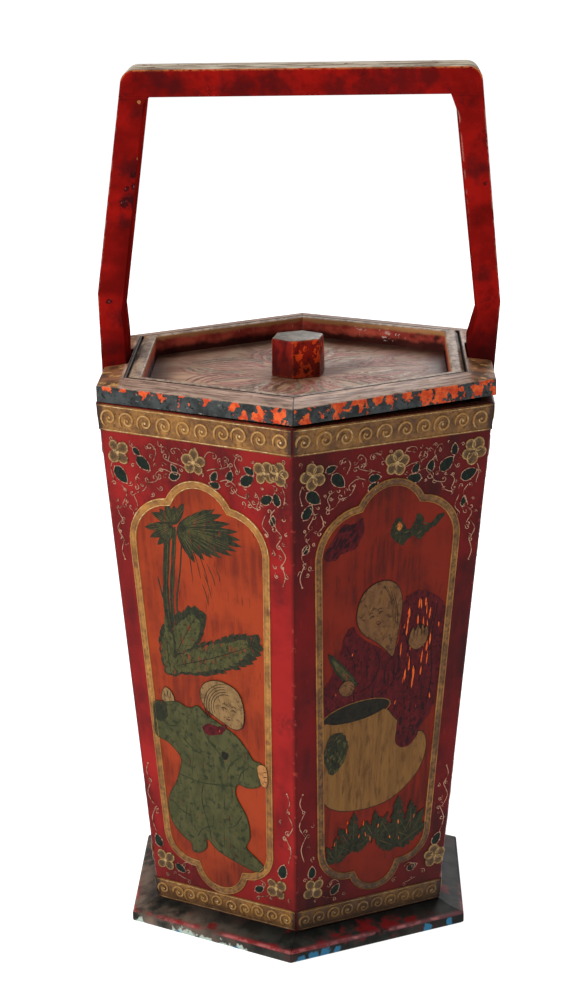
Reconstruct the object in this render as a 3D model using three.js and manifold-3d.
// A hexagonal lacquered wood bucket. Its lid slides up and down on the legs of a fixed carrying handle.
// Millimetres, Z up. X runs from the handle's left leg to its right leg, and the front corner of the
// hexagon points along -Y. The origin is at the centre of the base, on its underside.

import * as THREE from 'three';
import { mergeVertices } from 'three/addons/utils/BufferGeometryUtils.js';
import Module from 'manifold-3d';

const wasm = await Module();
wasm.setup();

// Clearances shared by all pieces
const jointGap = 0.3;
const overrun = 5;

// Tub. Its widths are across the flats, outside. Its walls flare upwards.
const tubTopWidth = 278.8;
const tubFootWidth = 210;
const tubHeight = 385;
const wallThickness = 9;
const floorThickness = 10;

// Raised gilt work on each wall: a band at the brim, one at the foot and a lobed frame between them.
// The frame's heights are shares of the wall's, and its cusps' places shares of its half width at the brim.
const reliefHeight = 0.6;
const bandSetback = 0.6;
const brimBandWidth = 19.4;
const footBandWidth = 15.9;
const frameWidth = 5.8;
const frameMargin = 16.5;
const frameArcStep = Math.PI / 6;
const cuspTopShare = 0.837;
const cuspTopWidthShare = 0.335;
const shoulderTopShare = 0.74;
const shoulderFootShare = 0.155;
const cuspFootShare = 0.089;
const cuspFootWidthShare = 0.28;
const topLobeRiseShare = 0.6;
const footLobeRiseShare = 0.72;
const shoulderRiseShare = 0.414;

// Base, a frame of moulded rails under the tub
const baseLedge = 18.6;
const baseRailWidth = 42;
const baseHeight = 15;
const baseEdgeHeight = 8.8;
const baseArris = 1.2;
const baseCoveDepth = 0.9;
const baseFrontDrift = -3.7;

// Handle. Reaches are measured out from the bucket's middle plane, rises up from the tub's top edge.
const handleDepth = 46;
const handleSetback = 2;
const barHeight = 19.2;
const barCornerRadius = 9.5;
const cornerSteps = 6;
const tongueThickness = 6;
const tongueLength = 60;
const tenonLength = 11;
const tenonWidth = 8;
const tenonDepth = 26;
const leftLeg = {
  sign: -1,
  barRise: 225,
  barInset: 19,
  proud: 1.6,
  kinkOut: 1.8,
  kinkRise: 66,
  innerKinkIn: 16.8,
  innerKinkRise: 52,
  heelRise: 30,
  topWidth: 17.4,
  braceWidth: 4,
  braceHeight: 4.6,
  braceHollowShare: 0.62,
};
const rightLeg = {
  sign: 1,
  barRise: 227.1,
  barInset: 12,
  proud: 3.1,
  kinkOut: 3.7,
  kinkRise: 60,
  innerKinkIn: 16.2,
  innerKinkRise: 49,
  heelRise: 28,
  topWidth: 17.4,
  braceWidth: 5.6,
  braceHeight: 15,
  braceHollowShare: 0.5,
};

// Wooden pegs
const legPegRadius = 3;
const legPegDrops = { upper: 16, lower: 44 };
const cornerPegRadius = 2;
const pegClearance = 0.25;
const pegSides = 16;

// Lid. It sits a little crooked: its right and its back side stand proud of the tub.
const lidOverhang = 0.6;
const lidEdgeHeight = 12.2;
const lidTopSlope = 2.5;
const lidArris = 0.8;
const lidRailWidth = 19.4;
const lidShift = 0.8;
const lidLeanDegrees = 1;
const lidPitchDegrees = 0.5;
const notchSideClearance = 1.6;
const notchFrontClearance = 2;
const notchBackClearance = 3;
const notchWeb = 2.4;
const rimThickness = 6.8;
const sideRimThickness = 10.8;
const rimArris = 0.7;
const sideRimGroove = 3.6;
const sideRimGrooveDepth = 2.6;
const rimDrop = 10;
const panelThickness = 8;

// Knob
const knobHeight = 28.2;
const knobFootRadius = 20.6;
const knobTopRadius = 20.1;
const knobArris = 1;
const knobTurnDegrees = -9;
const knobSetback = -2;
const knobTenonRadius = 7;
const knobTenonSides = 20;

// Places worked out from the sizes above
const tubTopReach = tubTopWidth / 2;
const tubFootReach = tubFootWidth / 2;
const tubFoot = baseHeight + jointGap;
const tubTop = tubFoot + tubHeight;
const flare = (tubTopReach - tubFootReach) / tubHeight;
const wallTopInner = tubTopReach - wallThickness;
const legSeat = tubTop + jointGap;
const legInner = wallTopInner - jointGap - tongueThickness;
const baseReach = tubFootReach + baseLedge;
const handleFront = handleSetback - handleDepth / 2;
const handleBack = handleSetback + handleDepth / 2;
const lidReach = tubTopReach + lidOverhang;
const notchWall = legInner - notchSideClearance;
const sideRailInner = notchWall - notchWeb;
const railInner = lidReach - lidRailWidth;
const lidTopHeight = lidEdgeHeight + lidTopSlope;

// The six sides, counter-clockwise from the right
const sideNames = ['right', 'back_right', 'back_left', 'left', 'front_left', 'front_right'];
const sideTurn = Math.PI / 3;
const mitreSetback = jointGap / 2 / Math.sin(sideTurn);
const isFlank = (side) => side % 3 === 0;
const legOfSide = { right: rightLeg, left: leftLeg };

// Materials
function finish(color, roughness) {
  return new THREE.MeshStandardMaterial({ color, roughness, metalness: 0 });
}

const finishes = {
  wall: () => finish(0xa02418, 0.45),
  floor: () => finish(0x5a2a1c, 0.7),
  base: () => finish(0x26211c, 0.5),
  handle: () => finish(0x7d1210, 0.4),
  peg: () => finish(0x6b1a12, 0.5),
  lidRail: () => finish(0x8f7468, 0.55),
  lidRim: () => finish(0x7a3a26, 0.55),
  lidPanel: () => finish(0x9a6a5c, 0.5),
  knob: () => finish(0x7a1c10, 0.45),
};

// A mesh built from one closed body
function piece(name, geometry, material) {
  const mesh = new THREE.Mesh(geometry, material);
  mesh.name = name;
  return mesh;
}

function toSolid(geometry) {
  geometry.deleteAttribute('normal');
  geometry.deleteAttribute('uv');
  const merged = mergeVertices(geometry);
  return new wasm.Manifold(new wasm.Mesh({
    numProp: 3,
    vertProperties: Float32Array.from(merged.attributes.position.array),
    triVerts: Uint32Array.from(merged.index.array),
  }));
}

function toGeometry(solid) {
  const mesh = solid.getMesh();
  const geometry = new THREE.BufferGeometry();
  geometry.setAttribute('position', new THREE.BufferAttribute(Float32Array.from(mesh.vertProperties), 3));
  geometry.setIndex(new THREE.BufferAttribute(Uint32Array.from(mesh.triVerts), 1));
  geometry.computeVertexNormals();
  return geometry;
}

function carve(geometry, tools) {
  return toGeometry(tools.reduce((rest, tool) => rest.subtract(toSolid(tool)), toSolid(geometry)));
}

function join(geometry, additions) {
  return toGeometry(additions.reduce((sum, more) => sum.add(toSolid(more)), toSolid(geometry)));
}

// A solid between two like outlines. The first is counter-clockwise as seen from outside its own end.
function loft(first, last, capFaces) {
  const count = first.length;
  const positions = [...first, ...last].flatMap((point) => point.toArray());
  const faces = [];
  for (let i = 0; i < count; i += 1) {
    const next = (i + 1) % count;
    faces.push(i, i + count, next);
    faces.push(next, i + count, next + count);
  }
  for (const [a, b, c] of capFaces) {
    faces.push(a, b, c);
    faces.push(a + count, c + count, b + count);
  }
  const geometry = new THREE.BufferGeometry();
  geometry.setAttribute('position', new THREE.Float32BufferAttribute(positions, 3));
  geometry.setIndex(faces);
  geometry.computeVertexNormals();
  return geometry;
}

// Where the lines of two neighbouring sides cross, each at its own distance from the axis
function sidesMeet(side, distance, otherSide, otherDistance) {
  const angle = side * sideTurn;
  const otherAngle = otherSide * sideTurn;
  const turn = Math.sin(otherAngle - angle);
  return new THREE.Vector3(
    (distance * Math.sin(otherAngle) - otherDistance * Math.sin(angle)) / turn,
    (otherDistance * Math.cos(angle) - distance * Math.cos(otherAngle)) / turn,
    0,
  );
}

// One board of a hexagonal ring, mitred to its neighbours. profileOf(side) gives its section as
// counter-clockwise points [distance from the axis, height], and shiftOf moves a corner sideways.
function ringBoard(side, profileOf, shiftOf = () => 0) {
  const profile = profileOf(side);
  const along = new THREE.Vector3(-Math.sin(side * sideTurn), Math.cos(side * sideTurn), 0);
  const spanOf = (points) => {
    const distances = points.map(([distance]) => distance);
    return { inner: Math.min(...distances), outer: Math.max(...distances) };
  };
  const own = spanOf(profile);
  const ends = [-1, 1].map((direction) => {
    const neighbour = side + direction;
    const other = spanOf(profileOf((neighbour + sideNames.length) % sideNames.length));
    const innerCorner = sidesMeet(side, own.inner, neighbour, other.inner);
    const outerCorner = sidesMeet(side, own.outer, neighbour, other.outer);
    const cornerIndex = direction > 0 ? side : side - 1;
    return profile.map(([distance, height]) => {
      const share = (distance - own.inner) / (own.outer - own.inner);
      const point = innerCorner.clone().lerp(outerCorner, share);
      point.addScaledVector(along, -direction * mitreSetback);
      point.x += shiftOf(cornerIndex, distance);
      point.z = height;
      return point;
    });
  });
  const section = profile.map(([distance, height]) => new THREE.Vector2(distance, height));
  return loft(ends[0], ends[1], THREE.ShapeUtils.triangulateShape(section, []));
}

// A six-sided slab. Each level is {height, distanceOf}, the lower one first.
function slab(lower, upper) {
  const corners = sideNames.map((name, side) => side);
  const loopOf = ({ height, distanceOf }) => corners.map((side) => {
    const next = (side + 1) % sideNames.length;
    const point = sidesMeet(side, distanceOf(side), side + 1, distanceOf(next));
    point.z = height;
    return point;
  });
  const fan = corners.slice(1, -1).map((side) => [0, side, side + 1]);
  return loft(loopOf(upper), loopOf(lower), fan);
}

// A flat outline of [x, height] points, extruded from front to back
function plank(points, front, back) {
  const shape = new THREE.Shape(points.map(([x, height]) => new THREE.Vector2(x, height)));
  const geometry = new THREE.ExtrudeGeometry(shape, { depth: back - front, bevelEnabled: false });
  geometry.rotateX(Math.PI / 2);
  geometry.translate(0, back, 0);
  return geometry;
}

function block(low, high) {
  const geometry = new THREE.BoxGeometry(high[0] - low[0], high[1] - low[1], high[2] - low[2]);
  geometry.translate((low[0] + high[0]) / 2, (low[1] + high[1]) / 2, (low[2] + high[2]) / 2);
  return geometry;
}

// A round rod from start to end
function rod(start, end, radius, sides = pegSides) {
  const axis = end.clone().sub(start);
  const geometry = new THREE.CylinderGeometry(radius, radius, axis.length(), sides);
  const upright = new THREE.Vector3(0, 1, 0);
  geometry.applyQuaternion(new THREE.Quaternion().setFromUnitVectors(upright, axis.clone().normalize()));
  const middle = start.clone().add(end).multiplyScalar(1 / 2);
  geometry.translate(middle.x, middle.y, middle.z);
  return geometry;
}

// Distances from the axis at a height: a wall's outer face, and what fits just inside the wall
const wallOuter = (height) => tubFootReach + (height - tubFoot) * flare;
const insideWall = (height) => wallOuter(height) - wallThickness - jointGap;

// Tub

// The section's points round a band that stands out between two heights
function bandSteps(low, high) {
  return [
    [wallOuter(low), low],
    [wallOuter(low) + reliefHeight, low],
    [wallOuter(high) + reliefHeight, high],
    [wallOuter(high), high],
  ];
}

function wallProfile() {
  const footBandLow = tubFoot + bandSetback;
  const brimBandTop = tubTop - bandSetback;
  return [
    [tubFootReach - wallThickness, tubFoot],
    [tubFootReach, tubFoot],
    ...bandSteps(footBandLow, footBandLow + footBandWidth),
    ...bandSteps(brimBandTop - brimBandWidth, brimBandTop),
    [tubTopReach, tubTop],
    [wallTopInner, tubTop],
  ];
}

// Points on the arc from one point to another, without the last. The arc lies to the left of the way
// there, and its rise is a share of half its chord.
function arcBetween(start, end, riseShare) {
  const chord = end.clone().sub(start);
  const half = chord.length() / 2;
  const rise = riseShare * half;
  const radius = (half * half + rise * rise) / (2 * rise);
  const left = new THREE.Vector2(-chord.y, chord.x).normalize();
  const centre = start.clone().add(end).multiplyScalar(1 / 2).addScaledVector(left, rise - radius);
  const angle = 4 * Math.atan(riseShare);
  const steps = Math.ceil(angle / frameArcStep);
  return Array.from({ length: steps }, (_, i) => start.clone().rotateAround(centre, -angle * (i / steps)));
}

// The frame's outer edge, clockwise, on a wall's face: x across it from its middle, y up it from its foot
function frameOutline() {
  const slant = Math.hypot(1, flare);
  const halfWidth = (height) => wallOuter(tubFoot + height) * Math.tan(sideTurn / 2);
  const at = (x, share) => new THREE.Vector2(x, tubHeight * share * slant);
  const edgeAt = (share) => halfWidth(tubHeight * share) - frameMargin;
  const cuspTop = cuspTopWidthShare * halfWidth(tubHeight);
  const cuspFoot = cuspFootWidthShare * halfWidth(tubHeight);
  const shoulderTop = edgeAt(shoulderTopShare);
  const shoulderFoot = edgeAt(shoulderFootShare);
  return [
    ...arcBetween(at(-cuspTop, cuspTopShare), at(cuspTop, cuspTopShare), topLobeRiseShare),
    ...arcBetween(at(cuspTop, cuspTopShare), at(shoulderTop, shoulderTopShare), shoulderRiseShare),
    at(shoulderTop, shoulderTopShare),
    ...arcBetween(at(shoulderFoot, shoulderFootShare), at(cuspFoot, cuspFootShare), shoulderRiseShare),
    ...arcBetween(at(cuspFoot, cuspFootShare), at(-cuspFoot, cuspFootShare), footLobeRiseShare),
    ...arcBetween(at(-cuspFoot, cuspFootShare), at(-shoulderFoot, shoulderFootShare), shoulderRiseShare),
    at(-shoulderFoot, shoulderFootShare),
    ...arcBetween(at(-shoulderTop, shoulderTopShare), at(-cuspTop, cuspTopShare), shoulderRiseShare),
  ];
}

// A clockwise outline moved inwards with its corners kept sharp
function inset(outline, distance) {
  return outline.map((point, i) => {
    const before = point.clone().sub(outline.at(i - 1)).normalize();
    const after = outline[(i + 1) % outline.length].clone().sub(point).normalize();
    const inward = new THREE.Vector2(before.y + after.y, -before.x - after.x);
    return point.clone().addScaledVector(inward, distance / (1 + before.dot(after)));
  });
}

// The frame of one wall, sunk into the wall by as much as it stands out
function frame(side) {
  const outline = frameOutline();
  const shape = new THREE.Shape(outline);
  shape.holes.push(new THREE.Path(inset(outline, frameWidth).reverse()));
  const geometry = new THREE.ExtrudeGeometry(shape, { depth: 2 * reliefHeight, bevelEnabled: false });
  geometry.translate(0, 0, -reliefHeight);
  const out = new THREE.Vector3(Math.cos(side * sideTurn), Math.sin(side * sideTurn), 0);
  const across = new THREE.Vector3(-out.y, out.x, 0);
  const up = out.clone().multiplyScalar(flare).add(new THREE.Vector3(0, 0, 1)).normalize();
  const foot = out.multiplyScalar(tubFootReach);
  const onWall = new THREE.Matrix4().makeBasis(across, up, across.clone().cross(up));
  onWall.setPosition(foot.x, foot.y, tubFoot);
  return geometry.applyMatrix4(onWall);
}

function wall(side) {
  const board = join(ringBoard(side, wallProfile), [frame(side)]);
  const leg = legOfSide[sideNames[side]];
  if (!leg) return board;
  return carve(board, Object.values(legPegDrops).map((drop) => legPegHole(leg, drop)));
}

function floorBoard() {
  const top = tubFoot + floorThickness;
  return slab(
    { height: tubFoot, distanceOf: () => insideWall(tubFoot) },
    { height: top, distanceOf: () => insideWall(top) },
  );
}

// Base

function baseProfile() {
  const coveOuter = baseReach - baseArris;
  const coveInner = tubFootReach + jointGap;
  const coveMiddle = (coveOuter + coveInner) / 2;
  return [
    [baseReach - baseRailWidth, 0],
    [baseReach - baseArris, 0],
    [baseReach, baseArris],
    [baseReach, baseEdgeHeight - baseArris],
    [coveOuter, baseEdgeHeight],
    [coveMiddle, (baseEdgeHeight + baseHeight) / 2 - baseCoveDepth],
    [coveInner, baseHeight],
    [baseReach - baseRailWidth, baseHeight],
  ];
}

// The base's front corner was cut a little to the left of the middle
const frontCorner = 4;

function baseShift(corner, distance) {
  const ledgeShare = Math.max(0, (distance - tubFootReach) / baseLedge);
  return corner === frontCorner ? baseFrontDrift * ledgeShare : 0;
}

// Handle

const footReach = (leg) => tubTopReach + leg.proud;
const barReach = (leg) => footReach(leg) - leg.barInset;
const barTop = (leg) => tubTop + leg.barRise;

// The height of the bar's underside at a place along it
function barUnderside(x) {
  const span = barReach(leftLeg) + barReach(rightLeg);
  const share = (x + barReach(leftLeg)) / span;
  return THREE.MathUtils.lerp(barTop(leftLeg), barTop(rightLeg), share) - barHeight;
}

// A leg's outer edge runs straight from its kink to the bar's top corner
function outerEdge(leg, height) {
  const kinkReach = footReach(leg) + leg.kinkOut;
  const kinkHeight = tubTop + leg.kinkRise;
  const share = (height - kinkHeight) / (barTop(leg) - kinkHeight);
  return THREE.MathUtils.lerp(kinkReach, barReach(leg), share);
}

// A leg's outline as [reach, height] points, counter-clockwise on the right leg
function legOutline(leg) {
  const tongueFoot = tubTop - tongueLength;
  const topHeight = (reach) => barUnderside(leg.sign * reach) - jointGap;
  const outerTop = outerEdge(leg, barUnderside(leg.sign * barReach(leg)));
  const innerTop = outerTop - leg.topWidth;
  const braceTop = innerTop - leg.braceWidth;
  const innerKink = footReach(leg) + leg.kinkOut - leg.innerKinkIn;
  const hollowShare = leg.braceHollowShare;
  return [
    [insideWall(tongueFoot) - tongueThickness, tongueFoot],
    [insideWall(tongueFoot), tongueFoot],
    [insideWall(tubTop), tubTop],
    [insideWall(tubTop), legSeat],
    [footReach(leg), legSeat],
    [footReach(leg), tubTop + lidEdgeHeight],
    [footReach(leg) + leg.kinkOut, tubTop + leg.kinkRise],
    [outerTop, topHeight(outerTop)],
    [braceTop, topHeight(braceTop)],
    [
      braceTop + leg.braceWidth * hollowShare,
      topHeight(innerTop) - leg.braceHeight * (1 - hollowShare),
    ],
    [innerTop, topHeight(innerTop) - leg.braceHeight],
    [innerKink, tubTop + leg.innerKinkRise],
    [legInner, tubTop + leg.heelRise],
    [legInner, tubTop],
  ];
}

// A leg's tenon stands in a mortise of the bar, with room for glue all round
function tenon(leg, room) {
  const middle = outerEdge(leg, barTop(leg) - barHeight) - leg.topWidth / 2;
  const foot = barUnderside(leg.sign * middle);
  const lowX = leg.sign * middle - tenonWidth / 2 - room;
  const highX = leg.sign * middle + tenonWidth / 2 + room;
  const front = handleSetback - tenonDepth / 2 - room;
  const back = handleSetback + tenonDepth / 2 + room;
  return block([lowX, front, foot - overrun], [highX, back, foot + tenonLength + room]);
}

function cornerPeg(leg, room) {
  const x = leg.sign * (outerEdge(leg, barTop(leg) - barHeight) - leg.topWidth / 2);
  const height = barUnderside(x) + tenonLength / 2;
  const end = room > 0 ? overrun : -jointGap;
  return rod(
    new THREE.Vector3(x, handleFront - end, height),
    new THREE.Vector3(x, handleBack + end, height),
    cornerPegRadius + room,
  );
}

function legPegHole(leg, drop) {
  const height = tubTop - drop;
  const inner = insideWall(height) - tongueThickness - overrun;
  const outer = wallOuter(height) + overrun;
  return rod(
    new THREE.Vector3(leg.sign * inner, handleSetback, height),
    new THREE.Vector3(leg.sign * outer, handleSetback, height),
    legPegRadius + pegClearance,
  );
}

function legPeg(leg, drop) {
  const height = tubTop - drop;
  const inner = insideWall(height) - tongueThickness + jointGap;
  const outer = wallOuter(height) - jointGap;
  return rod(
    new THREE.Vector3(leg.sign * inner, handleSetback, height),
    new THREE.Vector3(leg.sign * outer, handleSetback, height),
    legPegRadius,
  );
}

function handleLeg(leg) {
  const points = legOutline(leg).map(([reach, height]) => [leg.sign * reach, height]);
  const whole = join(plank(points, handleFront, handleBack), [tenon(leg, 0)]);
  const holes = Object.values(legPegDrops).map((drop) => legPegHole(leg, drop));
  return carve(whole, [...holes, cornerPeg(leg, pegClearance)]);
}

// The points of a round corner between two straight edges
function roundCorner(before, corner, after, radius) {
  const toBefore = new THREE.Vector2(before[0] - corner[0], before[1] - corner[1]).normalize();
  const toAfter = new THREE.Vector2(after[0] - corner[0], after[1] - corner[1]).normalize();
  const halfAngle = Math.acos(toBefore.dot(toAfter)) / 2;
  const reach = radius / Math.tan(halfAngle);
  const centre = toBefore.clone().add(toAfter).normalize().multiplyScalar(radius / Math.sin(halfAngle));
  const start = toBefore.clone().multiplyScalar(reach).sub(centre);
  const turn = -(Math.PI - 2 * halfAngle) * Math.sign(toBefore.cross(toAfter));
  const points = [];
  for (let i = 0; i <= cornerSteps; i += 1) {
    const spoke = start.clone().rotateAround(new THREE.Vector2(), turn * i / cornerSteps);
    points.push([corner[0] + centre.x + spoke.x, corner[1] + centre.y + spoke.y]);
  }
  return points;
}

function handleBar() {
  const underLeft = -outerEdge(leftLeg, barUnderside(-barReach(leftLeg)));
  const underRight = outerEdge(rightLeg, barUnderside(barReach(rightLeg)));
  const leftFoot = [underLeft, barUnderside(underLeft)];
  const rightFoot = [underRight, barUnderside(underRight)];
  const leftTop = [-barReach(leftLeg), barTop(leftLeg)];
  const rightTop = [barReach(rightLeg), barTop(rightLeg)];
  const points = [
    leftFoot,
    rightFoot,
    ...roundCorner(rightFoot, rightTop, leftTop, barCornerRadius),
    ...roundCorner(rightTop, leftTop, leftFoot, barCornerRadius),
  ];
  const cuts = [leftLeg, rightLeg].flatMap((leg) => [tenon(leg, jointGap), cornerPeg(leg, pegClearance)]);
  return carve(plank(points, handleFront, handleBack), cuts);
}

// Lid, in its own frame: the origin is at the centre of its underside

function lidRailProfile(side) {
  const inner = isFlank(side) ? sideRailInner : railInner;
  return [
    [inner, 0],
    [lidReach, 0],
    [lidReach, lidEdgeHeight - lidArris],
    [lidReach - lidArris, lidEdgeHeight],
    [inner, lidTopHeight],
  ];
}

function lidRail(side) {
  const rail = ringBoard(side, lidRailProfile);
  if (!isFlank(side)) return rail;
  const { sign } = legOfSide[sideNames[side]];
  const xs = [sign * notchWall, sign * (lidReach + overrun)].sort((a, b) => a - b);
  return carve(rail, [block(
    [xs[0], handleFront - notchFrontClearance, -overrun],
    [xs[1], handleBack + notchBackClearance, lidTopHeight + overrun],
  )]);
}

const rimOuter = (side) => (isFlank(side) ? sideRailInner : railInner) - jointGap;
const rimInner = (side) => rimOuter(side) - (isFlank(side) ? sideRimThickness : rimThickness);

function lidRimProfile(side) {
  const grooveWidth = isFlank(side) ? sideRimGroove : rimArris;
  const grooveDepth = isFlank(side) ? sideRimGrooveDepth : rimArris;
  return [
    [rimInner(side), -rimDrop],
    [rimOuter(side), -rimDrop],
    [rimOuter(side), lidTopHeight - grooveDepth],
    [rimOuter(side) - grooveWidth, lidTopHeight],
    [rimInner(side) + rimArris, lidTopHeight],
    [rimInner(side), lidTopHeight - rimArris],
  ];
}

function knobTenon(room) {
  return rod(
    new THREE.Vector3(0, knobSetback, -panelThickness - (room > 0 ? overrun : 0)),
    new THREE.Vector3(0, knobSetback, knobHeight / 2),
    knobTenonRadius + room,
    knobTenonSides,
  );
}

function lidPanel() {
  const distanceOf = (side) => rimInner(side) - jointGap;
  const board = slab({ height: -panelThickness, distanceOf }, { height: 0, distanceOf });
  return carve(board, [knobTenon(jointGap)]);
}

function lidKnob() {
  const profile = [
    [0, jointGap],
    [knobFootRadius, jointGap],
    [knobTopRadius, knobHeight - knobArris],
    [knobTopRadius - knobArris, knobHeight],
    [0, knobHeight],
  ].map(([radius, height]) => new THREE.Vector2(radius, height));
  const head = new THREE.LatheGeometry(profile, sideNames.length);
  head.rotateX(Math.PI / 2);
  head.rotateZ(THREE.MathUtils.degToRad(knobTurnDegrees));
  head.translate(0, knobSetback, 0);
  return join(head, [knobTenon(0)]);
}

// Assembly

function bucket() {
  const group = new THREE.Group();
  sideNames.forEach((name, side) => {
    group.add(piece(`wall_${name}`, wall(side), finishes.wall()));
    group.add(piece(`base_rail_${name}`, ringBoard(side, baseProfile, baseShift), finishes.base()));
  });
  group.add(piece('floor_board', floorBoard(), finishes.floor()));
  return group;
}

function handle() {
  const group = new THREE.Group();
  group.add(piece('handle_bar', handleBar(), finishes.handle()));
  for (const [name, leg] of Object.entries({ left: leftLeg, right: rightLeg })) {
    group.add(piece(`handle_leg_${name}`, handleLeg(leg), finishes.handle()));
    group.add(piece(`corner_peg_${name}`, cornerPeg(leg, 0), finishes.peg()));
    for (const [place, drop] of Object.entries(legPegDrops)) {
      group.add(piece(`leg_peg_${name}_${place}`, legPeg(leg, drop), finishes.peg()));
    }
  }
  return group;
}

function lid() {
  const group = new THREE.Group();
  sideNames.forEach((name, side) => {
    group.add(piece(`lid_rail_${name}`, lidRail(side), finishes.lidRail()));
    group.add(piece(`lid_rim_${name}`, ringBoard(side, lidRimProfile), finishes.lidRim()));
  });
  group.add(piece('lid_panel', lidPanel(), finishes.lidPanel()));
  group.add(piece('lid_knob', lidKnob(), finishes.knob()));
  const lean = THREE.MathUtils.degToRad(lidLeanDegrees);
  const pitch = THREE.MathUtils.degToRad(lidPitchDegrees);
  const cornerDrop = lidReach * Math.tan(lean) + lidReach * Math.tan(sideTurn / 2) * Math.tan(pitch);
  group.rotation.set(pitch, -lean, 0);
  group.position.set(lidShift, 0, tubTop + jointGap + cornerDrop);
  return group;
}

const lacqueredBucket = new THREE.Group();
lacqueredBucket.add(bucket(), handle(), lid());

export default lacqueredBucket;
